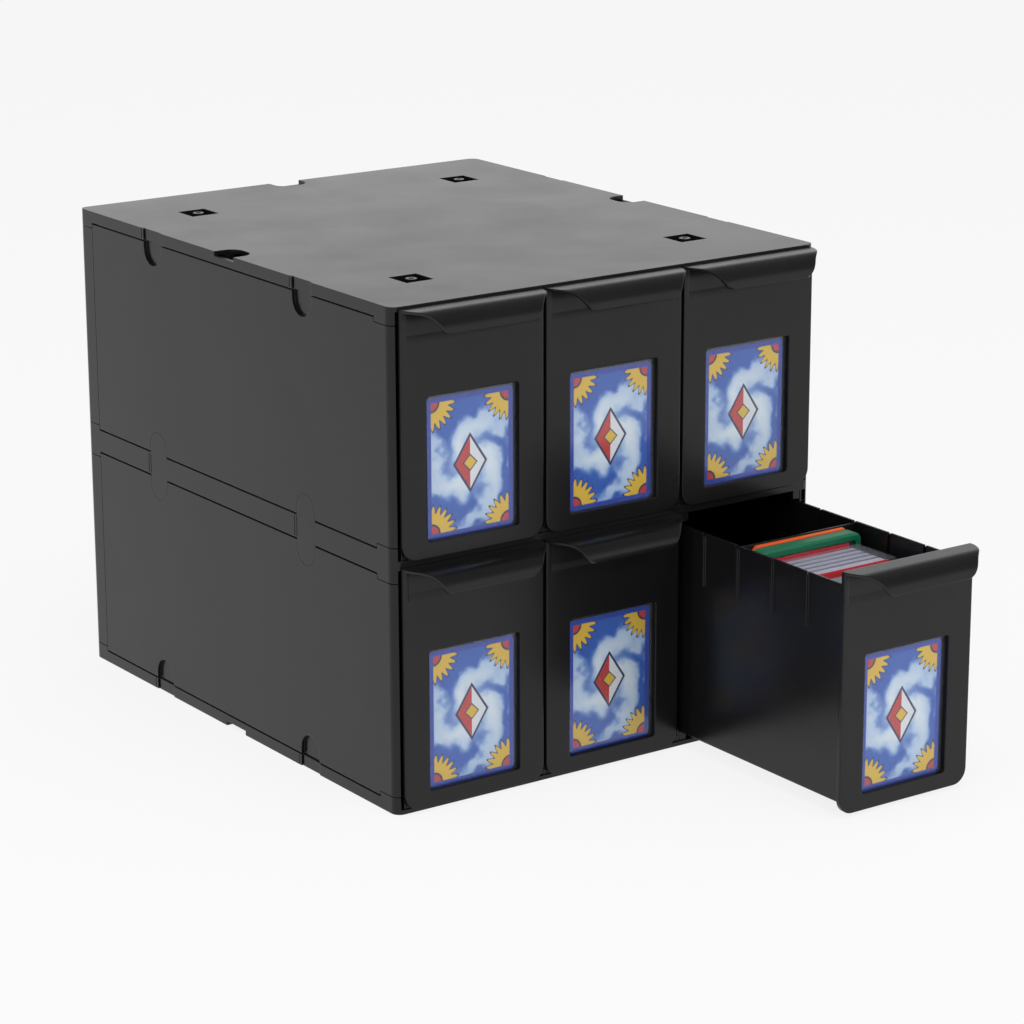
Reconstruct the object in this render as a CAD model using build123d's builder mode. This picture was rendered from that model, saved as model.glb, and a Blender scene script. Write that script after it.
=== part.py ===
"""Drawer box for trading cards: two levels of three drawers between three plates.

Frame: +X is the right-hand side seen from the front, -Y is the front, +Z is up.
The origin is the middle of the casing's underside. All sizes are in millimetres.
The bottom and top plates are one moulding, turned over for the top. The middle plate
has a rim both ways, and ears on its sides that lock the side panels of both levels.
"""

from build123d import *
from math import hypot
import os

os.makedirs("parts", exist_ok=True)

# ---------------------------------------------------------------- driving dimensions

case_width = 325.0
case_depth = 386.0
level_height = 159.6
corner_radius = 6.0

# Fits: parts that stay together, parts that slide past each other
fit = 0.2
running_gap = 0.3

# Plates: a thin deck, a low rim on three sides, taller caps round the corners
deck = 3.0
middle_deck = 3.0
front_edge = 4.0
front_notch_width = 30.0
front_notch_height = 1.2
rim_height = 7.5
rim_wall = 1.8
cap_height = 11.0
cap_length = 18.0
groove = 1.2
seam = 0.5

# Walls that stand between the plates
side_wall = 3.6
back_wall = 2.4
lap_length = 5.0
lap_wall = 1.4
partition_wall = 2.6
partition_setback = 1.0
channel_rib = 1.4
channel_height = 4.0

# Square pockets with a ring, one at each end of the two outer bays
pocket_width = 20.2
pocket_depth = 5.0
pocket_wall = 1.4
pocket_inset = 63.3
ring_outer_radius = 3.7
ring_inner_radius = 1.7
ring_facets = 12

# Finger notches in the middle of the sides and the back of each plate
notch_width = 24.0
notch_depth = 16.0
notch_radius = 9.0

# Ears of the middle plate, with round ends, let into the edges of the side panels
ear_width = 21.4
ear_height = 46.4
ear_thickness = 2.0
ear_pitch = 186.0
ear_facets = 16
slit_width = 0.8
slit_pitch = 2.6
end_rim_recess = 1.0

# Drawer front and its lip
front_gap = 2.5
front_bottom = 2.4
front_top_gap = 1.4
front_plate = 3.1
front_corner_radius = 10.0
finger_recess = 1.0
finger_recess_height = 16.4
finger_recess_border = 3.3
finger_slope_height = 4.4
lip_reach = 22.0
lip_radius = 13.0
lip_thickness = 2.0
lip_inset = 24.0
lip_waist = 11.5
lip_waist_reach = 14.1
lip_shoulder_slope = 0.3

# Drawer tub
tub_wall = 1.6
tub_floor = 1.8
tub_inset = 3.1
tub_headroom = 1.8
tub_corner = 4.0
tub_back_gap = 2.0
runner_height = 6.0
runner_width = 5.4
guide_wall = 1.5
guide_height = 8.5

# Slots for the loose divider, pressed outwards from both tub walls
slot_count = 10
slot_pitch = 33.8
first_slot = 39.2
slot_width = 2.2
slot_length = 33.0
slot_top_gap = 1.5
slot_bulge_width = 4.4

divider_thickness = 1.6
divider_top_gap = 1.3
divider_corner = 1.5

# Window in the front, and the rigid clear sleeve that holds a card behind it
card_width = 63.0
card_height = 88.0
card_thickness = 0.4
card_corner = 1.5
window_border = 2.4
window_side_border = 2.4
window_radius = 2.0
sleeve_width = 76.2
sleeve_height = 101.6
sleeve_thickness = 1.7
sleeve_skin = 0.45
sleeve_floor = 1.2
sleeve_side_fit = 1.5
rail_wall = 1.4
rail_lip = 2.2
rail_height = 90.0

# Travel: how far a drawer slides, and how far the lower right one is pulled out
pull_out = 159.0

# Cases that stand in the open drawer, from the divider forwards
case_gap = 0.6
slab_width = 80.0
slab_height = 128.0
slab_thickness = 5.9
slab_count = 4
slab_edge = 1.2
slab_corner = 2.5
thick_slab_thickness = 10.2
frame_width = 83.0
frame_height = 134.8
frame_thickness = 9.8
frame_border = 5.0
frame_corner_radius = 6.0
frame_floor = 2.4
framed_slab_thickness = 6.0
orange_width = 76.0
orange_height = 135.6
orange_thickness = 3.0
open_divider_slot = 2

# ---------------------------------------------------------------- worked-out places

bays = ("left", "middle", "right")
bay_pitch = (case_width - 2 * side_wall) / len(bays)
half_width = case_width / 2
half_depth = case_depth / 2
wall_bottom = deck + fit
wall_height = level_height - 2 * wall_bottom
clear_depth = half_depth - back_wall

front_width = bay_pitch - front_gap
front_top = level_height - front_top_gap
front_height = front_top - front_bottom
front_back_y = -half_depth - running_gap
front_y = front_back_y - front_plate

tub_width = front_width - 2 * tub_inset
tub_bottom = deck + runner_height + running_gap
floor_top = tub_bottom + tub_floor
tub_top = level_height - deck - runner_height - tub_headroom
tub_height = tub_top - tub_bottom
tub_back_y = clear_depth - tub_back_gap
inner_width = tub_width - 2 * tub_wall

sleeve_bottom = floor_top + fit
sleeve_y = front_back_y + fit
card_bottom = sleeve_bottom + sleeve_floor + fit
card_y = sleeve_y + (sleeve_thickness - card_thickness) / 2

bay_places = {bay: (i - 1) * bay_pitch for i, bay in enumerate(bays)}
level_places = {"lower": 0.0, "upper": level_height}
open_drawer = ("lower", "right")


def save(piece, name):
    """Label a finished piece and write it as one STEP file."""
    piece.label = name
    export_step(piece, f"parts/{name}.step")


def ear_outline(side, y, z, gap):
    """Upright slot shape on one side of the casing, facing inwards: the outline of an ear."""
    face = Plane(origin=(side * half_width, y, z), x_dir=(0, 1, 0), z_dir=(-side, 0, 0))
    with BuildSketch(face) as outline:
        Rectangle(ear_width + 2 * gap, ear_height - ear_width)
        with GridLocations(0, ear_height - ear_width, 1, 2):
            RegularPolygon(ear_width / 2 + gap, ear_facets)
    return outline.sketch


def slits(side, y, z):
    """Two upright slits in a rim, just behind an ear, which let the rim spring there."""
    place = y + (ear_width + slit_pitch) / 2
    face = Plane(origin=(side * half_width, place, z), x_dir=(0, 1, 0), z_dir=(-side, 0, 0))
    with BuildSketch(face) as outline:
        with GridLocations(slit_pitch, 0, 2, 1):
            Rectangle(slit_width, 2 * (rim_height - slit_width))
    return outline.sketch


# ---------------------------------------------------------------- plates

ear_rows = (-ear_pitch / 2, ear_pitch / 2)
ear_places = [(side, y) for side in (-1, 1) for y in ear_rows]
runner_spacing = tub_width - runner_width
guide_spacing = tub_width + 2 * running_gap + guide_wall
runner_length = clear_depth + half_depth - 2 * partition_setback
runner_y = (clear_depth - half_depth) / 2
channel_spacing = partition_wall + 2 * fit + channel_rib
bay_rows = [(x, runner_y) for x in bay_places.values()]
partition_rows = [(x, runner_y) for x in (-bay_pitch / 2, bay_pitch / 2)]

# What stands up from the level line of every plate
with BuildPart() as plate_fittings:
    # Low rim on the sides and the back; the front stays open for the drawers
    with BuildSketch():
        RectangleRounded(case_width, case_depth, corner_radius)
        with Locations((0, -rim_wall)):
            Rectangle(case_width - 2 * rim_wall, case_depth, mode=Mode.SUBTRACT)
    extrude(amount=rim_height)
    # Taller caps round the four corners
    with BuildSketch():
        RectangleRounded(case_width, case_depth, corner_radius)
        with Locations((0, -back_wall)):
            Rectangle(case_width - 2 * side_wall, case_depth, mode=Mode.SUBTRACT)
        Rectangle(case_width, case_depth - 2 * cap_length, mode=Mode.SUBTRACT)
        Rectangle(case_width - 2 * cap_length, case_depth, mode=Mode.SUBTRACT)
    extrude(amount=cap_height)
    # Border and strips on which the walls and partitions stand
    with BuildSketch():
        RectangleRounded(case_width, case_depth, corner_radius)
        with Locations((0, (front_edge - back_wall) / 2)):
            Rectangle(
                case_width - 2 * side_wall,
                case_depth - front_edge - back_wall,
                mode=Mode.SUBTRACT,
            )
        with Locations(*partition_rows):
            Rectangle(channel_spacing + channel_rib, runner_length)
    extrude(amount=deck)
    # Pairs of ribs that hold the partitions upright
    with BuildSketch(Plane.XY.offset(deck)):
        with Locations(*partition_rows):
            with GridLocations(channel_spacing, 0, 2, 1):
                Rectangle(channel_rib, runner_length)
    extrude(amount=channel_height)
    # Two runners under each drawer, and a guide outside each runner
    with BuildSketch():
        with Locations(*bay_rows):
            with GridLocations(runner_spacing, 0, 2, 1):
                Rectangle(runner_width, runner_length)
    extrude(amount=deck + runner_height)
    with BuildSketch():
        with Locations(*bay_rows):
            with GridLocations(guide_spacing, 0, 2, 1):
                Rectangle(guide_wall, runner_length)
    extrude(amount=deck + guide_height)

with BuildPart() as end_plate:
    add(plate_fittings.part)
    with BuildSketch():
        RectangleRounded(case_width, case_depth, corner_radius)
    extrude(amount=deck)
    # Square pockets open to the outside, each with a ring that ends flush with the deck
    pocket_grid = GridLocations(2 * bay_pitch, case_depth - 2 * pocket_inset, 2, 2)
    with BuildSketch():
        with pocket_grid:
            Rectangle(pocket_width + 2 * pocket_wall, pocket_width + 2 * pocket_wall)
    extrude(amount=pocket_depth + pocket_wall)
    with BuildSketch():
        with pocket_grid:
            Rectangle(pocket_width, pocket_width)
            RegularPolygon(ring_outer_radius, ring_facets, mode=Mode.SUBTRACT)
    extrude(amount=pocket_depth, mode=Mode.SUBTRACT)
    with BuildSketch():
        with pocket_grid:
            RegularPolygon(ring_inner_radius, ring_facets)
    extrude(amount=pocket_depth, mode=Mode.SUBTRACT)
    # Finger notches at the edge: through the deck, and inside the rim through all below it
    with BuildSketch() as notches:
        with GridLocations(case_width, 0, 2, 1):
            RectangleRounded(2 * notch_depth, notch_width, notch_radius)
        with Locations((0, half_depth)):
            RectangleRounded(notch_width, 2 * notch_depth, notch_radius)
    extrude(amount=deck, mode=Mode.SUBTRACT)
    with BuildSketch():
        Rectangle(case_width - 2 * rim_wall, case_depth - 2 * rim_wall)
        add(notches.sketch, mode=Mode.INTERSECT)
    extrude(amount=deck + guide_height, mode=Mode.SUBTRACT)
    # Shallow notches in the front edge, one over each drawer
    with BuildSketch(Plane.XZ.offset(half_depth)):
        with Locations(*[(x, deck) for x in bay_places.values()]):
            Rectangle(front_notch_width, 2 * front_notch_height)
    extrude(amount=-front_edge, mode=Mode.SUBTRACT)
    # The rim is set back where a further plate's ears would lie
    for side, y in ear_places:
        extrude(ear_outline(side, y, 0, fit), amount=end_rim_recess, mode=Mode.SUBTRACT)
        extrude(slits(side, y, 0), amount=rim_wall, mode=Mode.SUBTRACT)

lower_fittings = mirror(plate_fittings.part, about=Plane.XY)

with BuildPart() as middle_plate:
    add(plate_fittings.part)
    add(lower_fittings)
    with BuildSketch(Plane.XY.offset(-middle_deck / 2)):
        RectangleRounded(case_width, case_depth, corner_radius)
    extrude(amount=middle_deck)
    for side, y in ear_places:
        extrude(ear_outline(side, y, 0, 0), amount=ear_thickness)
        extrude(slits(side, y, 0), amount=rim_wall, mode=Mode.SUBTRACT)

# ---------------------------------------------------------------- side panel

panel_length = case_depth - cap_length - seam
panel_y = -half_depth + panel_length / 2
rebate = rim_wall + fit
rebate_height = rim_height + groove
post_height = cap_height + seam

with BuildPart() as left_side:
    with BuildSketch(Plane.XY.offset(wall_bottom)):
        RectangleRounded(case_width, case_depth, corner_radius)
        with Locations((-half_width + side_wall / 2, panel_y)):
            Rectangle(side_wall, panel_length, mode=Mode.INTERSECT)
    extrude(amount=wall_height)
    # Step over the rims of both plates, and room for their corner caps
    with BuildSketch(Plane.XZ.offset(half_depth)):
        with Locations((-half_width, 0), (-half_width, level_height)):
            Rectangle(2 * rebate, 2 * rebate_height)
    extrude(amount=-case_depth, mode=Mode.SUBTRACT)
    with BuildSketch(Plane.YZ.offset(-half_width)):
        with Locations((-half_depth, 0), (-half_depth, level_height)):
            Rectangle(2 * (cap_length + seam), 2 * post_height)
    extrude(amount=side_wall, mode=Mode.SUBTRACT)
    # Inner step at the rear edge for the back panel's lap
    with BuildSketch(Plane.XY.offset(wall_bottom)):
        with Locations((-half_width + side_wall, panel_y + panel_length / 2)):
            Rectangle(2 * (lap_wall + fit), 2 * (lap_length + fit))
    extrude(amount=wall_height, mode=Mode.SUBTRACT)
    # Recesses for the middle plate's ears, at both edges so that the levels are alike
    for z in (0, level_height):
        for y in ear_rows:
            extrude(ear_outline(-1, y, z, fit), amount=ear_thickness + fit, mode=Mode.SUBTRACT)

right_side = mirror(left_side.part, about=Plane.YZ)

# ---------------------------------------------------------------- back panel

with BuildPart() as back_panel:
    with BuildSketch(Plane.XY.offset(wall_bottom)):
        RectangleRounded(case_width, case_depth, corner_radius)
        with Locations((0, -back_wall)):
            Rectangle(case_width - 2 * side_wall, case_depth, mode=Mode.SUBTRACT)
        with Locations((0, -cap_length)):
            Rectangle(case_width, case_depth, mode=Mode.SUBTRACT)
    extrude(amount=wall_height)
    # Laps that reach forward behind the side panels
    with BuildSketch(Plane.XY.offset(wall_bottom)):
        with Locations((0, half_depth - cap_length - (lap_length + seam) / 2)):
            with GridLocations(case_width - 2 * side_wall + lap_wall, 0, 2, 1):
                Rectangle(lap_wall, lap_length + seam)
    extrude(amount=wall_height)
    # Step over the rims of both plates, and room for their corner caps
    for z in (0, level_height):
        with BuildSketch(Plane.XY.offset(z - rebate_height)) as rim_path:
            RectangleRounded(case_width, case_depth, corner_radius)
            with Locations((0, -rebate)):
                Rectangle(case_width - 2 * rebate, case_depth, mode=Mode.SUBTRACT)
        extrude(rim_path.sketch, amount=2 * rebate_height, mode=Mode.SUBTRACT)
        with BuildSketch(Plane.XY.offset(z - post_height)) as cap_room:
            with GridLocations(case_width, case_depth, 2, 2):
                Rectangle(2 * (cap_length + seam), 2 * (cap_length + seam))
        extrude(cap_room.sketch, amount=2 * post_height, mode=Mode.SUBTRACT)

# ---------------------------------------------------------------- partition

partition_length = clear_depth + half_depth - partition_setback - fit
partition_y = -half_depth + partition_setback + partition_length / 2

with BuildPart() as partition:
    with BuildSketch(Plane.XY.offset(wall_bottom)):
        with Locations((0, partition_y)):
            Rectangle(partition_wall, partition_length)
    extrude(amount=wall_height)

# ---------------------------------------------------------------- drawer

slot_rows = [front_y + first_slot + slot_pitch * i for i in range(slot_count)]
slot_bottom = tub_top - slot_top_gap - slot_length
lip_flat = lip_reach - lip_radius
lip_diagonal = hypot(1, 1)
lip_span = (lip_reach + lip_radius) / lip_diagonal
lip_root_y = front_y + finger_recess
window_width = card_width + 2 * window_side_border
window_height = card_height + window_border
window_z = card_bottom + window_height / 2
rail_gap = sleeve_thickness + 2 * fit

with BuildPart() as lip:
    # A sheet that leaves the top of the front level and curls down
    with BuildSketch(Plane.YZ.offset(-front_width / 2)):
        with BuildLine():
            top = Line((lip_root_y, front_top), (front_y - lip_flat, front_top))
            curl = CenterArc((front_y - lip_flat, front_top - lip_radius), lip_radius, 90, 90)
            end = Line(curl @ 1, curl @ 1 + Vector(lip_thickness, 0))
            under_curl = CenterArc(
                (front_y - lip_flat, front_top - lip_radius), lip_radius - lip_thickness, 180, -90
            )
            under = Line(under_curl @ 1, (lip_root_y, front_top - lip_thickness))
            Line(under @ 1, top @ 0)
        make_face()
    extrude(amount=front_width)
    # Its outline, seen square to the curl: waisted sides that flare into the lower edge
    lip_view = Plane(
        origin=(0, front_y, front_top), x_dir=(1, 0, 0), z_dir=(0, -1 / lip_diagonal, 1 / lip_diagonal)
    )
    with BuildSketch(lip_view):
        with BuildLine():
            side = Spline(
                (front_width / 2, 0),
                (front_width / 2 - lip_waist, -lip_waist_reach),
                (front_width / 2 - lip_inset, -lip_span),
                tangents=[(-lip_shoulder_slope, -1), (-1, 0)],
            )
            mirror(side, about=Plane.YZ)
            Line(side @ 1, (-(front_width / 2 - lip_inset), -lip_span))
            Polyline(
                side @ 0,
                (front_width / 2, lip_reach),
                (-front_width / 2, lip_reach),
                (-front_width / 2, 0),
            )
        make_face()
    extrude(amount=2 * lip_reach, both=True, mode=Mode.INTERSECT)

with BuildPart() as drawer:
    # Front plate: large lower corners, a shallow recess for the fingers under the lip
    front_face = Plane(origin=(0, front_y, front_bottom), x_dir=(1, 0, 0), z_dir=(0, -1, 0))
    with BuildSketch(front_face) as front_outline:
        with Locations((0, front_height / 2)):
            Rectangle(front_width, front_height)
        fillet(front_outline.vertices().group_by(Axis.Y)[0], front_corner_radius)
    extrude(amount=-front_plate)
    recess_bottom = front_top - finger_recess_height
    recess_width = front_width - 2 * finger_recess_border
    with BuildSketch(Plane.YZ.offset(-recess_width / 2)):
        with BuildLine():
            Polyline(
                (front_y, front_top - lip_thickness),
                (front_y, recess_bottom - finger_slope_height),
                (front_y + finger_recess, recess_bottom),
                (front_y + finger_recess, front_top - lip_thickness),
                close=True,
            )
        make_face()
    extrude(amount=recess_width, mode=Mode.SUBTRACT)
    add(lip.part)
    # Tub behind the front
    tub_length = tub_back_y - front_back_y
    with BuildSketch(Plane.XY.offset(tub_bottom)):
        with Locations((0, front_back_y + tub_length / 2)):
            Rectangle(tub_width, tub_length)
    extrude(amount=tub_height)
    rear_corners = drawer.edges().filter_by(Axis.Z).sort_by(Axis.Y)[-2:]
    chamfer(rear_corners, tub_corner)
    with BuildSketch(Plane.XY.offset(floor_top)) as hollow:
        with Locations((0, front_back_y + (tub_length - tub_wall) / 2)):
            Rectangle(inner_width, tub_length - tub_wall)
        chamfer(hollow.vertices().group_by(Axis.Y)[-1], tub_corner - tub_wall / 2)
    extrude(amount=tub_height, mode=Mode.SUBTRACT)
    # Divider slots: a bulge on the outside of each wall, and a groove behind it
    with BuildSketch(Plane.XY.offset(slot_bottom)):
        with Locations(*[(0, y) for y in slot_rows]):
            with GridLocations(tub_width, 0, 2, 1):
                Rectangle(2 * tub_wall, slot_bulge_width)
    extrude(amount=slot_length)
    with BuildSketch(Plane.XY.offset(slot_bottom + tub_wall)):
        with Locations(*[(0, y) for y in slot_rows]):
            Rectangle(tub_width, slot_width)
    extrude(amount=tub_height, mode=Mode.SUBTRACT)
    with BuildSketch(Plane.XY.offset(slot_bottom)):
        with Locations((0, front_back_y + tub_length / 2)):
            Rectangle(inner_width, tub_length - 2 * tub_wall)
    extrude(amount=slot_length, mode=Mode.SUBTRACT)
    # Window, and two rails behind it that hold the sleeve
    window_face = Plane(origin=(0, front_y, window_z), x_dir=(1, 0, 0), z_dir=(0, 1, 0))
    with BuildSketch(window_face):
        RectangleRounded(window_width, window_height, window_radius)
    extrude(amount=front_plate, mode=Mode.SUBTRACT)
    rail_spacing = sleeve_width + 2 * fit + rail_wall
    with BuildSketch(Plane.XY.offset(floor_top)):
        with Locations((0, front_back_y + (rail_gap + rail_wall) / 2)):
            with GridLocations(rail_spacing, 0, 2, 1):
                Rectangle(rail_wall, rail_gap + rail_wall)
        with Locations((0, front_back_y + rail_gap + rail_wall / 2)):
            with GridLocations(rail_spacing + rail_wall - rail_lip, 0, 2, 1):
                Rectangle(rail_lip, rail_wall)
    extrude(amount=rail_height)

# ---------------------------------------------------------------- divider

divider_top = tub_top - divider_top_gap
wing_bottom = slot_bottom + tub_wall + running_gap
wing_width = inner_width + 2 * (tub_wall - running_gap)

with BuildPart() as divider:
    with BuildSketch(Plane.XZ) as divider_outline:
        with Locations((0, (floor_top + fit + divider_top) / 2)):
            Rectangle(inner_width - 2 * running_gap, divider_top - floor_top - fit)
        with Locations((0, (wing_bottom + divider_top) / 2)):
            Rectangle(wing_width, divider_top - wing_bottom)
        chamfer(divider_outline.vertices().group_by(Axis.Y)[-1], divider_corner)
    extrude(amount=divider_thickness / 2, both=True)

# ---------------------------------------------------------------- sleeve and card

with BuildPart() as sleeve:
    with BuildSketch(Plane.XZ.offset(-sleeve_y)):
        with Locations((0, sleeve_bottom + sleeve_height / 2)):
            Rectangle(sleeve_width, sleeve_height)
    extrude(amount=-sleeve_thickness)
    with BuildSketch(Plane.XZ.offset(-sleeve_y - sleeve_skin)):
        with Locations((0, sleeve_bottom + sleeve_floor + sleeve_height / 2)):
            Rectangle(card_width + 2 * sleeve_side_fit, sleeve_height)
    extrude(amount=-(sleeve_thickness - 2 * sleeve_skin), mode=Mode.SUBTRACT)

with BuildPart() as card:
    with BuildSketch(Plane.XZ.offset(-card_y)) as card_outline:
        with Locations((0, card_bottom + card_height / 2)):
            Rectangle(card_width, card_height)
        chamfer(card_outline.vertices(), card_corner)
    extrude(amount=-card_thickness)

# ---------------------------------------------------------------- cases in the open drawer


def standing_block(width, height, thickness, back_y, corner, edge):
    """Upright case on the tub's floor, with its back at back_y."""
    with BuildPart() as block:
        with BuildSketch(Plane.XZ.offset(-back_y)) as outline:
            with Locations((0, floor_top + fit + height / 2)):
                Rectangle(width, height)
            chamfer(outline.vertices(), corner)
        extrude(amount=thickness)
        chamfer(block.faces().sort_by(Axis.Y)[0].edges(), length=edge)
    return block.part


open_divider_y = slot_rows[open_divider_slot]
orange_back = open_divider_y - divider_thickness / 2 - case_gap
frame_back = orange_back - orange_thickness - case_gap
framed_back = frame_back - frame_floor - fit
slab_backs = [
    frame_back - frame_thickness - case_gap - i * (slab_thickness + case_gap) for i in range(slab_count)
]
thick_back = slab_backs[-1] - slab_thickness - case_gap

orange_case = standing_block(
    orange_width, orange_height, orange_thickness, orange_back, slab_corner, slab_edge / 2
)
slabs = [
    standing_block(slab_width, slab_height, slab_thickness, back, slab_corner, slab_edge)
    for back in slab_backs
]
thick_slab = standing_block(
    slab_width, slab_height, thick_slab_thickness, thick_back, slab_corner, slab_edge
)

# Soft bumper frame with a floor behind, open at the front for the slab that it holds
frame_opening_width = frame_width - 2 * frame_border
frame_opening_height = frame_height - 2 * frame_border
with BuildPart() as case_frame:
    with BuildSketch(Plane.XZ.offset(-frame_back)):
        with Locations((0, floor_top + fit + frame_height / 2)):
            RectangleRounded(frame_width, frame_height, frame_corner_radius)
    extrude(amount=frame_thickness)
    chamfer(case_frame.faces().sort_by(Axis.Y)[0].edges(), length=slab_edge)
    with BuildSketch(Plane.XZ.offset(-frame_back + frame_floor)):
        with Locations((0, floor_top + fit + frame_height / 2)):
            Rectangle(frame_opening_width, frame_opening_height)
    extrude(amount=frame_thickness, mode=Mode.SUBTRACT)

with BuildPart() as framed_slab:
    with BuildSketch(Plane.XZ.offset(-framed_back)):
        with Locations((0, floor_top + fit + frame_height / 2)):
            Rectangle(frame_opening_width - 2 * fit, frame_opening_height - 2 * fit)
    extrude(amount=framed_slab_thickness)

# ---------------------------------------------------------------- place and write

case_height = len(level_places) * level_height
top_plate = mirror(end_plate.part, about=Plane.XY).moved(Location((0, 0, case_height)))
save(end_plate.part, "bottom_plate")
save(middle_plate.part.moved(Location((0, 0, level_height))), "middle_plate")
save(top_plate, "top_plate")

for level, z in level_places.items():
    lift = Location((0, 0, z))
    save(left_side.part.moved(lift), f"{level}_left_side")
    save(right_side.moved(lift), f"{level}_right_side")
    save(back_panel.part.moved(lift), f"{level}_back")
    save(partition.part.moved(Location((-bay_pitch / 2, 0, z))), f"{level}_left_partition")
    save(partition.part.moved(Location((bay_pitch / 2, 0, z))), f"{level}_right_partition")
    for bay, x in bay_places.items():
        is_open = (level, bay) == open_drawer
        place = Location((x, -pull_out if is_open else 0, z))
        parked = Location((0, open_divider_y if is_open else slot_rows[slot_count // 2], 0))
        save(drawer.part.moved(place), f"{level}_{bay}_drawer")
        save(sleeve.part.moved(place), f"{level}_{bay}_sleeve")
        save(card.part.moved(place), f"{level}_{bay}_card")
        save(divider.part.moved(place * parked), f"{level}_{bay}_divider")

open_place = Location((bay_places[open_drawer[1]], -pull_out, level_places[open_drawer[0]]))
save(orange_case.moved(open_place), "orange_card_case")
save(case_frame.part.moved(open_place), "green_case_frame")
save(framed_slab.part.moved(open_place), "framed_card_slab")
for number, slab in enumerate(slabs, start=1):
    save(slab.moved(open_place), f"card_slab_{number}")
save(thick_slab.moved(open_place), "thick_card_slab")
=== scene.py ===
import math

import bpy
import numpy as np
from mathutils import Matrix, Vector


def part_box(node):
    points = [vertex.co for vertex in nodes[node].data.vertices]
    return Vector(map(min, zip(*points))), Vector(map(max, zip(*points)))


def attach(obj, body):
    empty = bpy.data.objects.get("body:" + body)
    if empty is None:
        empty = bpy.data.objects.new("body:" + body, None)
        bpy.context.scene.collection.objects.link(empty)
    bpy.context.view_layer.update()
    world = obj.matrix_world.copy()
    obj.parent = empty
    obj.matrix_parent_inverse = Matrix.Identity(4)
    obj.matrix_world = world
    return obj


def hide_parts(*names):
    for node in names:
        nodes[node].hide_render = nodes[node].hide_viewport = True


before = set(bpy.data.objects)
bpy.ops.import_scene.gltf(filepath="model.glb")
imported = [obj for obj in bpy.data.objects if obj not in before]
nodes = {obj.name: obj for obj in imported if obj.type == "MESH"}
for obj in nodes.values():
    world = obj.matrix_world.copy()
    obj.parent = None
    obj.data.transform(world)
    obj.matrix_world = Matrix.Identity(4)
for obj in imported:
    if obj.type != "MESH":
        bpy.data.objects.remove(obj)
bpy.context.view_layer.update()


# ---------------------------------------------------------------- casing
# Three plates with side panels, backs and partitions between them. All are injection
# moulded in black plastic with a fine satin texture, and are pressed together by hand.

CASING_BLACK = (0.0075, 0.0075, 0.0080)
CASING_ROUGHNESS = 0.23
CASING_EDGE = 0.0007
TEXTURED_SPECULAR = 0.30
TINT_SCALE = 30.0
TINT_DARKEST = 0.8
TINT_LIGHTEST = 1.3
SHEEN_SCALE = 18.0
SHEEN_SMOOTHER = 0.03
SHEEN_ROUGHER = 0.04
WAVE_SCALE = 14.0
WAVE_STRENGTH = 0.5
WAVE_HEIGHT = 0.0006
GRAIN_SCALE = 2600.0
GRAIN_STRENGTH = 0.25
GRAIN_HEIGHT = 0.00003


def shader_node(material, kind, **settings):
    """A new node in a material, with plain settings on it."""
    node = material.node_tree.nodes.new(kind)
    for name, value in settings.items():
        setattr(node, name, value)
    return node


def wire(material, source, target):
    """Joins an output socket to an input socket."""
    material.node_tree.links.new(source, target)


def new_material(name):
    """An empty node material: returns it and its Principled shader."""
    material = bpy.data.materials.new(name)
    material.use_nodes = True
    return material, material.node_tree.nodes["Principled BSDF"]


def noise(material, place, scale, detail=2.0):
    """Noise on the piece's own coordinates, scale in cells per metre."""
    texture = shader_node(material, "ShaderNodeTexNoise")
    texture.inputs["Scale"].default_value = scale
    texture.inputs["Detail"].default_value = detail
    wire(material, place, texture.inputs["Vector"])
    return texture.outputs["Fac"]


def spread(material, value, low, high):
    """Maps the middle half of a noise's values to low..high."""
    ramp = shader_node(material, "ShaderNodeMapRange")
    ramp.inputs["From Min"].default_value = 0.25
    ramp.inputs["From Max"].default_value = 0.75
    ramp.inputs["To Min"].default_value = low
    ramp.inputs["To Max"].default_value = high
    wire(material, value, ramp.inputs["Value"])
    return ramp.outputs["Result"]


def moulded_plastic(name, colour, roughness, edge, waviness=1.0):
    """Black moulded plastic with rounded edges, faint sink waves, fine grain and an uneven sheen."""
    material, shader = new_material(name)
    shader.inputs["Specular IOR Level"].default_value = TEXTURED_SPECULAR
    place = shader_node(material, "ShaderNodeTexCoord").outputs["Object"]

    tint = shader_node(material, "ShaderNodeMix", data_type="RGBA")
    tint.inputs["A"].default_value = (*[TINT_DARKEST * c for c in colour], 1)
    tint.inputs["B"].default_value = (*[TINT_LIGHTEST * c for c in colour], 1)
    wire(material, noise(material, place, TINT_SCALE), tint.inputs["Factor"])
    wire(material, tint.outputs["Result"], shader.inputs["Base Color"])

    sheen_noise = noise(material, place, SHEEN_SCALE, 4.0)
    sheen = spread(material, sheen_noise, roughness - SHEEN_SMOOTHER, roughness + SHEEN_ROUGHER)
    wire(material, sheen, shader.inputs["Roughness"])

    rounded = shader_node(material, "ShaderNodeBevel", samples=6)
    rounded.inputs["Radius"].default_value = edge
    waves = shader_node(material, "ShaderNodeBump")
    waves.inputs["Strength"].default_value = WAVE_STRENGTH
    waves.inputs["Distance"].default_value = WAVE_HEIGHT * waviness
    wire(material, noise(material, place, WAVE_SCALE, 1.0), waves.inputs["Height"])
    wire(material, rounded.outputs["Normal"], waves.inputs["Normal"])
    grain = shader_node(material, "ShaderNodeBump")
    grain.inputs["Strength"].default_value = GRAIN_STRENGTH
    grain.inputs["Distance"].default_value = GRAIN_HEIGHT
    wire(material, noise(material, place, GRAIN_SCALE), grain.inputs["Height"])
    wire(material, waves.outputs["Normal"], grain.inputs["Normal"])
    wire(material, grain.outputs["Normal"], shader.inputs["Normal"])
    return material


def dress(names, material):
    """Gives CAD nodes a material."""
    for name in names:
        nodes[name].data.materials.clear()
        nodes[name].data.materials.append(material)


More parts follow.
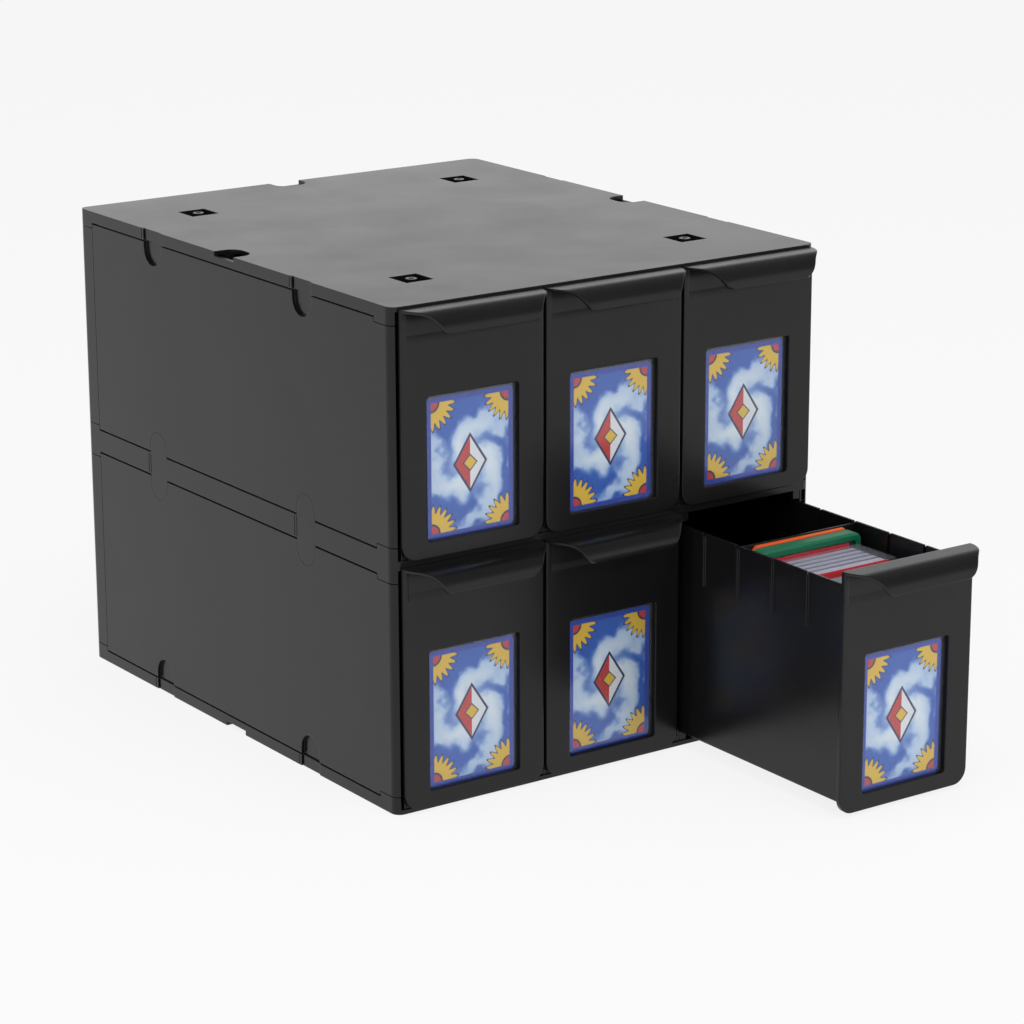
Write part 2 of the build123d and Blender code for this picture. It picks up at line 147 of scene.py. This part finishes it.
casing_black = moulded_plastic("casing_black_plastic", CASING_BLACK, CASING_ROUGHNESS, CASING_EDGE)
levels = ("lower", "upper")
bays = ("left", "middle", "right")
panel_names = [
    f"{level}_{piece}"
    for level in levels
    for piece in ("left_side", "right_side", "back", "left_partition", "right_partition")
]
dress(["bottom_plate", "middle_plate", "top_plate"] + panel_names, casing_black)


# ---------------------------------------------------------------- drawers
# Six mouldings, each a tub with its front and curled lip in one shot of the same black
# plastic, a little smoother than the casing because the fronts are polished in the tool.

DRAWER_BLACK = (0.0070, 0.0070, 0.0076)
DRAWER_ROUGHNESS = 0.24
DRAWER_EDGE = 0.0012
DRAWER_WAVINESS = 0.35

drawer_black = moulded_plastic(
    "drawer_black_plastic", DRAWER_BLACK, DRAWER_ROUGHNESS, DRAWER_EDGE, DRAWER_WAVINESS
)
drawer_names = [f"{level}_{bay}" for level in levels for bay in bays]
dress([f"{name}_drawer" for name in drawer_names], drawer_black)


# ---------------------------------------------------------------- dividers
# A loose black sheet with ears that hang in the slots of the tub, moulded like the drawers
# but with a plainer finish.

DIVIDER_BLACK = (0.0060, 0.0060, 0.0064)
DIVIDER_ROUGHNESS = 0.38

divider_black = moulded_plastic(
    "divider_black_plastic", DIVIDER_BLACK, DIVIDER_ROUGHNESS, DRAWER_EDGE
)
dress([f"{name}_divider" for name in drawer_names], divider_black)


# ---------------------------------------------------------------- display cards
# A printed card of the standard size behind each window: coated board with a blue border,
# a pale swirl, a two-coloured lozenge and gold corner fans, all of a generic design.

CARD_WIDTH = 63.0
CARD_HEIGHT = 88.0
CARD_BORDER = 3.2
BORDER_BLUE = (0.006, 0.050, 0.430, 1)
DEEP_BLUE = (0.012, 0.110, 0.520, 1)
MID_BLUE = (0.090, 0.340, 0.800, 1)
PALE_BLUE = (0.860, 0.940, 1.000, 1)
OUTLINE_NAVY = (0.004, 0.010, 0.080, 1)
LOZENGE_RED = (0.620, 0.030, 0.020, 1)
LOZENGE_WHITE = (0.900, 0.900, 0.920, 1)
FAN_GOLD = (0.880, 0.560, 0.030, 1)
LOZENGE_HALF_WIDTH = 12.5
LOZENGE_HALF_HEIGHT = 19.0
LOZENGE_OUTLINE = 0.86
STAR_SIZE = 4.5
FAN_RADIUS = 15.0
FAN_RAY = 2.4
FAN_RAYS = 22.0
FAN_OUTLINE = 1.3
FAN_HEART = 5.0
SWIRL_ARMS = 3.0
SWIRL_TWIST = 0.22
SWIRL_RUFFLE = 0.05
SWIRL_RUFFLE_TURN = 9.0
SWIRL_CONTRAST = 0.34
SWIRL_FADE = 0.021
SWIRL_DARK_LIMIT = 0.34
CARD_ROUGHNESS = 0.35
CARD_CORNER = 0.003


def calc(material, operation, *values):
    """One sum on sockets or plain numbers, as a shader node's output."""
    node = shader_node(material, "ShaderNodeMath", operation=operation)
    for socket, value in zip(node.inputs, values):
        if isinstance(value, bpy.types.NodeSocket):
            wire(material, value, socket)
        else:
            socket.default_value = value
    return node.outputs[0]


def blend_colour(material, factor, low, high):
    """Mixes two colours, each a socket or four numbers, by a socket."""
    node = shader_node(material, "ShaderNodeMix", data_type="RGBA")
    wire(material, factor, node.inputs["Factor"])
    for name, value in (("A", low), ("B", high)):
        if isinstance(value, bpy.types.NodeSocket):
            wire(material, value, node.inputs[name])
        else:
            node.inputs[name].default_value = value
    return node.outputs["Result"]


def below(material, value, limit, soft=0.25):
    """1 where value is under limit, 0 over it, with an edge soft wide."""
    gap = calc(material, "SUBTRACT", limit, value)
    return calc(material, "ADD", calc(material, "DIVIDE", gap, soft), 0.5)


def clamped(material, value):
    """A value held between 0 and 1."""
    node = shader_node(material, "ShaderNodeClamp")
    wire(material, value, node.inputs["Value"])
    return node.outputs[0]


def mask(material, value, limit, soft=0.25):
    """A soft-edged 0..1 mask of where value is under limit."""
    return clamped(material, below(material, value, limit, soft))


def printed_card(name):
    """The card's print, worked out in millimetres from the middle of the card's face."""
    material, shader = new_material(name)
    face = shader_node(material, "ShaderNodeUVMap", uv_map="face")
    parts = shader_node(material, "ShaderNodeSeparateXYZ")
    wire(material, face.outputs["UV"], parts.inputs["Vector"])
    x = calc(material, "MULTIPLY", calc(material, "SUBTRACT", parts.outputs["X"], 0.5), CARD_WIDTH)
    y = calc(material, "MULTIPLY", calc(material, "SUBTRACT", parts.outputs["Y"], 0.5), CARD_HEIGHT)
    across = calc(material, "ABSOLUTE", x)
    up = calc(material, "ABSOLUTE", y)
    radius = calc(material, "SQRT", calc(material, "ADD", calc(material, "MULTIPLY", x, x),
                                         calc(material, "MULTIPLY", y, y)))

    # Swirl: arms that turn with the radius, broken up by noise
    spot = shader_node(material, "ShaderNodeCombineXYZ")
    wire(material, x, spot.inputs["X"])
    wire(material, y, spot.inputs["Y"])
    ruffle = noise(material, spot.outputs["Vector"], SWIRL_RUFFLE, 3.0)
    turn = calc(material, "ADD",
                calc(material, "MULTIPLY", calc(material, "ARCTAN2", y, x), SWIRL_ARMS),
                calc(material, "MULTIPLY", radius, SWIRL_TWIST))
    ruffled = calc(material, "MULTIPLY", ruffle, SWIRL_RUFFLE_TURN)
    wave = calc(material, "SINE", calc(material, "ADD", turn, ruffled))
    bright = clamped(material, calc(material, "ADD", calc(material, "MULTIPLY", wave, SWIRL_CONTRAST),
                     calc(material, "SUBTRACT", 1.0, calc(material, "MULTIPLY", radius, SWIRL_FADE))))
    sky = blend_colour(material, bright, MID_BLUE, PALE_BLUE)
    dark = mask(material, bright, SWIRL_DARK_LIMIT, 0.4)
    field = blend_colour(material, dark, sky, DEEP_BLUE)

    # Lozenge: left half red, right half white, outlined, with a small gold heart
    lozenge = calc(material, "ADD", calc(material, "DIVIDE", across, LOZENGE_HALF_WIDTH),
                   calc(material, "DIVIDE", up, LOZENGE_HALF_HEIGHT))
    halves = blend_colour(material, mask(material, x, 0.0, 0.4), LOZENGE_WHITE, LOZENGE_RED)
    filled = blend_colour(material, mask(material, lozenge, 1.0, 0.02), field, OUTLINE_NAVY)
    filled = blend_colour(material, mask(material, lozenge, LOZENGE_OUTLINE, 0.02), filled, halves)
    heart = calc(material, "ADD", across, up)
    filled = blend_colour(material, mask(material, heart, STAR_SIZE + 1.0), filled, OUTLINE_NAVY)
    filled = blend_colour(material, mask(material, heart, STAR_SIZE), filled, FAN_GOLD)

    # Fans in the four corners: a disc whose edge is cut into rays
    side = calc(material, "SUBTRACT", CARD_WIDTH / 2 - CARD_BORDER, across)
    rise = calc(material, "SUBTRACT", CARD_HEIGHT / 2 - CARD_BORDER, up)
    reach = calc(material, "SQRT", calc(material, "ADD", calc(material, "MULTIPLY", side, side),
                                        calc(material, "MULTIPLY", rise, rise)))
    ray = calc(material, "SINE",
               calc(material, "MULTIPLY", calc(material, "ARCTAN2", rise, side), FAN_RAYS))
    edge = calc(material, "SUBTRACT", reach, calc(material, "MULTIPLY", ray, FAN_RAY))
    fan_edge = mask(material, edge, FAN_RADIUS + FAN_OUTLINE)
    filled = blend_colour(material, fan_edge, filled, OUTLINE_NAVY)
    filled = blend_colour(material, mask(material, edge, FAN_RADIUS), filled, FAN_GOLD)
    heart_edge = mask(material, reach, FAN_HEART + FAN_OUTLINE)
    filled = blend_colour(material, heart_edge, filled, OUTLINE_NAVY)
    filled = blend_colour(material, mask(material, reach, FAN_HEART), filled, LOZENGE_RED)

    # Border
    inside = calc(material, "MINIMUM", side, rise)
    printed = blend_colour(material, mask(material, inside, 0.0), filled, BORDER_BLUE)
    wire(material, printed, shader.inputs["Base Color"])
    shader.inputs["Roughness"].default_value = CARD_ROUGHNESS
    return material


def card_mesh(name, low, high, radius, corner_steps=6):
    """Closed rounded rectangle: corner arcs joined by straight sides, swept from back to front."""
    angles = np.linspace(0, np.pi / 2, corner_steps + 1)
    corners = [(high.x, high.z, 0), (low.x, high.z, 1), (low.x, low.z, 2), (high.x, low.z, 3)]
    outline = []
    for x, z, quarter in corners:
        inward_x = x - radius if quarter in (0, 3) else x + radius
        inward_z = z - radius if quarter in (0, 1) else z + radius
        turn = angles + quarter * np.pi / 2
        arc = [inward_x + radius * np.cos(turn), inward_z + radius * np.sin(turn)]
        outline.append(np.stack(arc, 1))
    outline = np.concatenate(outline)
    count = len(outline)
    front = np.insert(outline, 1, low.y, 1)
    back = np.insert(outline, 1, high.y, 1)
    sides = [(i, i + count, (i + 1) % count + count, (i + 1) % count) for i in range(count)]
    faces = [tuple(range(count)), tuple(range(2 * count - 1, count - 1, -1))] + sides
    mesh = bpy.data.meshes.new(name)
    mesh.from_pydata(np.concatenate([front, back]), [], faces)
    corner_of = np.zeros(len(mesh.loops), int)
    mesh.loops.foreach_get("vertex_index", corner_of)
    spots = np.concatenate([outline, outline])[corner_of]
    face = (spots - [low.x, low.z]) / [high.x - low.x, high.z - low.z]
    mesh.uv_layers.new(name="face").data.foreach_set("uv", face.astype(np.float32).ravel())
    return mesh


card_print = printed_card("printed_card")
for name in drawer_names:
    low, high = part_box(f"{name}_card")
    mesh = card_mesh(f"{name}_printed_card", low, high, CARD_CORNER)
    card = bpy.data.objects.new(f"{name}_printed_card", mesh)
    bpy.context.scene.collection.objects.link(card)
    card.data.materials.append(card_print)
    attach(card, f"{name}_drawer")
    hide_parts(f"{name}_card")


# ---------------------------------------------------------------- clear sleeves
# A rigid pocket of two clear plastic walls, open at the top, that slides between the rails
# behind each window. Seen from the front it mirrors a pale haze over the card.

SLEEVE_TINT = (0.97, 0.98, 0.99, 1)
SLEEVE_ROUGHNESS = 0.10
SLEEVE_HAZE = 0.012
SLEEVE_MILK = 0.03
MILK_COLOUR = (0.60, 0.63, 0.72, 1)
CLEAR_IOR = 1.5


def clear_film(name, tint, roughness, haze, milk):
    """Clear plastic that lets light straight through, mirrors on its outside and scatters a little."""
    material, shader = new_material(name)
    material.node_tree.nodes.remove(shader)
    output = material.node_tree.nodes["Material Output"]
    through = shader_node(material, "ShaderNodeBsdfTransparent")
    through.inputs["Color"].default_value = tint
    mirror = shader_node(material, "ShaderNodeBsdfGlossy")
    mirror.inputs["Roughness"].default_value = roughness
    share = shader_node(material, "ShaderNodeFresnel")
    share.inputs["IOR"].default_value = CLEAR_IOR
    inside = shader_node(material, "ShaderNodeNewGeometry").outputs["Backfacing"]
    outer_share = calc(material, "MULTIPLY", share.outputs[0], calc(material, "SUBTRACT", 1.0, inside))
    film = shader_node(material, "ShaderNodeMixShader")
    wire(material, calc(material, "ADD", outer_share, haze), film.inputs[0])
    wire(material, through.outputs[0], film.inputs[1])
    wire(material, mirror.outputs[0], film.inputs[2])
    scatter = shader_node(material, "ShaderNodeBsdfDiffuse")
    scatter.inputs["Color"].default_value = MILK_COLOUR
    whole = shader_node(material, "ShaderNodeMixShader")
    whole.inputs[0].default_value = milk
    wire(material, film.outputs[0], whole.inputs[1])
    wire(material, scatter.outputs[0], whole.inputs[2])
    wire(material, whole.outputs[0], output.inputs["Surface"])
    return material


sleeve_clear = clear_film(
    "clear_sleeve_plastic", SLEEVE_TINT, SLEEVE_ROUGHNESS, SLEEVE_HAZE, SLEEVE_MILK
)
dress([f"{name}_sleeve" for name in drawer_names], sleeve_clear)


# ---------------------------------------------------------------- orange case and green frame
# A flat orange card case, and behind the clear ones a soft silicone bumper that is pulled over
# a card case. Both stand upright in the open drawer, against its divider.

ORANGE = (0.80, 0.100, 0.012)
ORANGE_ROUGHNESS = 0.35
ORANGE_EDGE = 0.0004
GREEN = (0.008, 0.150, 0.070)
GREEN_ROUGHNESS = 0.42
SOFT_EDGE = 0.0016
COLOUR_SCALE = 60.0


def plain_plastic(name, colour, roughness, edge, variation=0.12):
    """Coloured plastic with faintly uneven colour and rounded edges."""
    material, shader = new_material(name)
    place = shader_node(material, "ShaderNodeTexCoord").outputs["Object"]
    darker = (*[(1 - variation) * c for c in colour], 1)
    lighter = (*[(1 + variation) * c for c in colour], 1)
    uneven = noise(material, place, COLOUR_SCALE, 3.0)
    wire(material, blend_colour(material, uneven, darker, lighter), shader.inputs["Base Color"])
    shader.inputs["Roughness"].default_value = roughness
    rounded = shader_node(material, "ShaderNodeBevel", samples=8)
    rounded.inputs["Radius"].default_value = edge
    wire(material, rounded.outputs["Normal"], shader.inputs["Normal"])
    return material


orange_plastic = plain_plastic("orange_plastic", ORANGE, ORANGE_ROUGHNESS, ORANGE_EDGE)
dress(["orange_card_case"], orange_plastic)
green_silicone = plain_plastic("green_silicone", GREEN, GREEN_ROUGHNESS, SOFT_EDGE)
dress(["green_case_frame"], green_silicone)


# ---------------------------------------------------------------- clear card cases
# Two clear shells welded round a card and its label: a raised ridge round each face lets the
# cases stack, and the weld shows as a seam round the edge. Four thin ones, a thick one, and
# one inside the green frame.

CASE_TINT = (0.98, 0.98, 0.99, 1)
CASE_ROUGHNESS = 0.06
CASE_HAZE = 0.03
CASE_MILK = 0.06
CASE_CORNER = 0.0040
CARD_SIZE = (0.063, 0.088)
LABEL_WIDTH = 0.066
LABEL_HEIGHT = 0.018
LABEL_TOP = 0.0020
FRAMED_LABEL_TOP = 0.0012
THICK_STRIP_HEIGHT = 0.0045
THICK_STRIP_TOP = 0.0012
CASE_WALL = 0.0011
LABEL_PAPER = 0.0006
CORNER_STEPS = 6
CASE_RIDGE = 0.0022
THICK_CASE_RIDGE = 0.0030
THICK_CASE = 0.008
RIDGE_HOLLOW = 0.0007
CASE_EDGE = 0.0012
LABEL_GAP = 0.0003
CARD_GAP = 0.001


def rounded_outline(half_width, half_height, radius):
    """Points round a rectangle with arcs for corners, anticlockwise seen from the front."""
    turn = np.linspace(0, np.pi / 2, CORNER_STEPS + 1)
    quarter = np.stack([np.cos(turn), np.sin(turn)], 1) * radius
    corners = np.array([[1, 1], [-1, 1], [-1, -1], [1, -1]])
    centres = corners * [half_width - radius, half_height - radius]
    arcs = []
    for angle, centre in zip(np.arange(4) * np.pi / 2, centres):
        spin = np.array([[np.cos(angle), np.sin(angle)], [-np.sin(angle), np.cos(angle)]])
        arcs.append(quarter @ spin + centre)
    return np.concatenate(arcs)


def ring_stack(name, rings):
    """Closed skin over a stack of like rings, an array (ring, point, xyz), capped at both ends."""
    count, points = rings.shape[:2]
    index = np.arange(count * points).reshape(count, points)
    following = np.roll(index, -1, axis=1)
    walls = np.stack([index[:-1], following[:-1], following[1:], index[1:]], -1).reshape(-1, 4)
    faces = walls.tolist() + [index[0][::-1].tolist(), index[-1].tolist()]
    mesh = bpy.data.meshes.new(name)
    mesh.from_pydata(rings.reshape(-1, 3), [], faces)
    return mesh


def case_shell(name, low, high, ridge, hollow, edge):
    """Shell of a card case: the outline, drawn inwards by a profile that runs from the front face
    over the front ridge, down the side past the weld seam, and over the rear ridge."""
    middle = np.array([(low.x + high.x) / 2, (low.z + high.z) / 2])
    half_width, half_height = (high.x - low.x) / 2, (high.z - low.z) / 2
    thickness = high.y - low.y
    turn = np.linspace(0, np.pi / 2, 4)
    rounding = np.stack([edge * (1 - np.sin(turn)), edge * (1 - np.cos(turn))], 1)
    face = [(ridge + hollow, hollow), (ridge, hollow * 0.3), (ridge - hollow, 0.0)]
    front = face + [tuple(step) for step in rounding]
    seam = [(0.0, thickness / 2 - 0.0004), (0.0003, thickness / 2 - 0.0002)]
    half = np.array(front + seam)
    profile = np.concatenate([half, (half * [1, -1] + [0, thickness])[::-1]])
    rings = []
    for inset, depth in profile:
        corner = max(CASE_CORNER - inset, 0.0004)
        flat = rounded_outline(half_width - inset, half_height - inset, corner) + middle
        rings.append(np.insert(flat, 1, low.y + depth, 1))
    return ring_stack(name, np.array(rings))


def slip(name, width, height, x, top, front, thickness):
    """Flat block, such as a label or a card, at x with its top edge and its front face placed."""
    flat = rounded_outline(width / 2, height / 2, 0.001) + [x, top - height / 2]
    rings = [np.insert(flat, 1, front + depth, 1) for depth in (0, thickness)]
    return ring_stack(name, np.array(rings))


def place_in_drawer(name, mesh, material, stands_for=None):
    """Adds a piece that rides on the open drawer, in place of a CAD node where one is named."""
    piece = bpy.data.objects.new(name, mesh)
    bpy.context.scene.collection.objects.link(piece)
    piece.data.materials.append(material)
    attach(piece, "lower_right_drawer")
    if stands_for:
        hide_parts(stands_for)
    return piece


case_clear = clear_film("clear_case_plastic", CASE_TINT, CASE_ROUGHNESS, CASE_HAZE, CASE_MILK)
label_red = plain_plastic("red_label_paper", (1.00, 0.030, 0.045), 0.5, 0.0001)
label_grey = plain_plastic("grey_label_paper", (0.44, 0.44, 0.54), 0.5, 0.0001)
pale_card = plain_plastic("pale_card_board", (0.62, 0.74, 0.78), 0.45, 0.0001)
tray_black = plain_plastic("black_case_tray", (0.010, 0.010, 0.012), 0.4, 0.0003)

card_cases = {f"card_slab_{i}": (label_grey, pale_card) for i in (1, 2, 3, 4)}
card_cases["thick_card_slab"] = (label_grey, pale_card)
card_cases["framed_card_slab"] = (label_red, tray_black)
for name, (label, backing) in card_cases.items():
    low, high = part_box(name)
    thickness = high.y - low.y
    ridge = THICK_CASE_RIDGE if thickness > THICK_CASE else CASE_RIDGE
    shell = case_shell(name, low, high, ridge, RIDGE_HOLLOW, CASE_EDGE)
    place_in_drawer(f"{name}_shell", shell, case_clear, name)
    x = (low.x + high.x) / 2
    label_top = high.z - (FRAMED_LABEL_TOP if name == "framed_card_slab" else LABEL_TOP)
    front = low.y + CASE_WALL
    depth = thickness - 2 * CASE_WALL
    if name == "thick_card_slab":
        # Its label is a red strip over a pale one, in front of the card's own tray
        strip_top = high.z - THICK_STRIP_TOP
        strip = slip("red_strip", LABEL_WIDTH, THICK_STRIP_HEIGHT, x, strip_top, front, LABEL_PAPER)
        place_in_drawer("thick_card_slab_red_strip", strip, label_red)
        pale_top = strip_top - THICK_STRIP_HEIGHT
        pale = slip("pale_strip", LABEL_WIDTH, LABEL_HEIGHT, x, pale_top, front, LABEL_PAPER)
        place_in_drawer("thick_card_slab_pale_strip", pale, pale_card)
        front += LABEL_PAPER + LABEL_GAP
        depth -= LABEL_PAPER + LABEL_GAP
    paper = slip(f"{name}_label", LABEL_WIDTH, LABEL_HEIGHT, x, label_top, front, depth)
    place_in_drawer(f"{name}_label", paper, label)
    card_top = label_top - LABEL_HEIGHT - CARD_GAP
    inner = slip(f"{name}_inner_card", *CARD_SIZE, x, card_top, front, depth)
    place_in_drawer(f"{name}_inner_card", inner, backing)


# ---------------------------------------------------------------- studio
# A pale seamless floor that keeps the shadow, a white surround with a darker ceiling, and three
# soft lamps that light the pieces without being mirrored in them.

FLOOR_SIZE = 12.0
FLOOR_DROP = 0.0003


def seen_directly(studio):
    """1 for rays from the camera and for those that a piece mirrors or lets through."""
    ray = shader_node(studio, "ShaderNodeLightPath")
    mirrored = calc(studio, "MAXIMUM", ray.outputs["Is Camera Ray"], ray.outputs["Is Glossy Ray"])
    return calc(studio, "MAXIMUM", mirrored, ray.outputs["Is Transmission Ray"])


floor_mesh = bpy.data.meshes.new("studio_floor")
half = FLOOR_SIZE / 2
floor_mesh.from_pydata(
    [(x * half, y * half, -FLOOR_DROP) for x, y in ((-1, -1), (1, -1), (1, 1), (-1, 1))],
    [], [(0, 1, 2, 3)],
)
floor = bpy.data.objects.new("studio_floor", floor_mesh)
bpy.context.scene.collection.objects.link(floor)

FLOOR_WHITE = (0.80, 0.80, 0.80, 1)
FLOOR_GLOW = 0.85
floor_paper, floor_shader = new_material("studio_floor_paper")
floor_shader.inputs["Base Color"].default_value = FLOOR_WHITE
floor_shader.inputs["Roughness"].default_value = 0.9
glow = shader_node(floor_paper, "ShaderNodeEmission")
glow.inputs["Strength"].default_value = 1.0
seen = shader_node(floor_paper, "ShaderNodeMixShader")
wire(floor_paper, calc(floor_paper, "MULTIPLY", seen_directly(floor_paper), FLOOR_GLOW), seen.inputs[0])
wire(floor_paper, floor_shader.outputs[0], seen.inputs[1])
wire(floor_paper, glow.outputs[0], seen.inputs[2])
wire(floor_paper, seen.outputs[0], floor_paper.node_tree.nodes["Material Output"].inputs["Surface"])
floor.data.materials.append(floor_paper)

# The surround lights the pieces evenly. Seen directly or mirrored, it is a white wall that
# falls off towards the ceiling, the same all round.
SURROUND_LIGHT = 0.55
CEILING_LIGHT = 0.26
WALL_TOP = 0.30
CEILING_START = 0.50

world = bpy.data.worlds.new("studio_surround")
bpy.context.scene.world = world
world.use_nodes = True
surround = world.node_tree.nodes["Background"]
surround.inputs["Color"].default_value = (1, 1, 1, 1)
height = shader_node(world, "ShaderNodeSeparateXYZ")
wire(world, shader_node(world, "ShaderNodeTexCoord").outputs["Generated"], height.inputs[0])
wall = shader_node(world, "ShaderNodeMapRange")
wall.inputs["From Min"].default_value = WALL_TOP
wall.inputs["From Max"].default_value = CEILING_START
wall.inputs["To Min"].default_value = 1.0
wall.inputs["To Max"].default_value = CEILING_LIGHT
wire(world, height.outputs["Z"], wall.inputs["Value"])
level = shader_node(world, "ShaderNodeMix")
level.inputs["A"].default_value = SURROUND_LIGHT
wire(world, seen_directly(world), level.inputs["Factor"])
wire(world, wall.outputs["Result"], level.inputs["B"])
wire(world, level.outputs["Result"], surround.inputs["Strength"])


def soft_lamp(name, place, aim, size, power):
    """Square area lamp at place that shines at aim, both in metres."""
    lamp = bpy.data.lights.new(name, "AREA")
    lamp.size = size
    lamp.energy = power
    lamp_object = bpy.data.objects.new(name, lamp)
    lamp_object.location = place
    lamp_object.rotation_euler = (Vector(aim) - Vector(place)).to_track_quat("-Z", "Y").to_euler()
    lamp_object.visible_glossy = False
    bpy.context.scene.collection.objects.link(lamp_object)


OBJECT_MIDDLE = (0.0, -0.05, 0.16)
soft_lamp("key_lamp", (-0.3, -0.6, 2.6), OBJECT_MIDDLE, 1.6, 22.0)
soft_lamp("fill_lamp", (-1.9, -0.6, 1.3), OBJECT_MIDDLE, 1.2, 6.0)
soft_lamp("front_lamp", (0.4, -1.9, 0.9), OBJECT_MIDDLE, 1.0, 8.0)

# Camera: where it stood and how it was turned, from the picture's own perspective
CAMERA_PLACE = (-1.22623, -1.83364, 0.75511)
CAMERA_AZIMUTH = math.radians(35.0457)
CAMERA_ELEVATION = math.radians(16.0130)
CAMERA_ROLL = math.radians(-0.1821)
FOCAL_PIXELS = 3397.2
PICTURE_PIXELS = 1024
SENSOR_WIDTH = 36.0

forward = Vector((
    math.sin(CAMERA_AZIMUTH) * math.cos(CAMERA_ELEVATION),
    math.cos(CAMERA_AZIMUTH) * math.cos(CAMERA_ELEVATION),
    -math.sin(CAMERA_ELEVATION),
))
right = Vector((math.cos(CAMERA_AZIMUTH), -math.sin(CAMERA_AZIMUTH), 0))
upward = right.cross(forward)
camera_data = bpy.data.cameras.new("catalogue_camera")
camera_data.sensor_width = SENSOR_WIDTH
camera_data.lens = FOCAL_PIXELS * SENSOR_WIDTH / PICTURE_PIXELS
camera = bpy.data.objects.new("catalogue_camera", camera_data)
turned = Matrix((right, upward, -forward)).transposed() @ Matrix.Rotation(CAMERA_ROLL, 3, "Z")
camera.matrix_world = Matrix.Translation(CAMERA_PLACE) @ turned.to_4x4()
bpy.context.scene.collection.objects.link(camera)
bpy.context.scene.camera = camera
bpy.context.scene.view_settings.view_transform = "Standard"
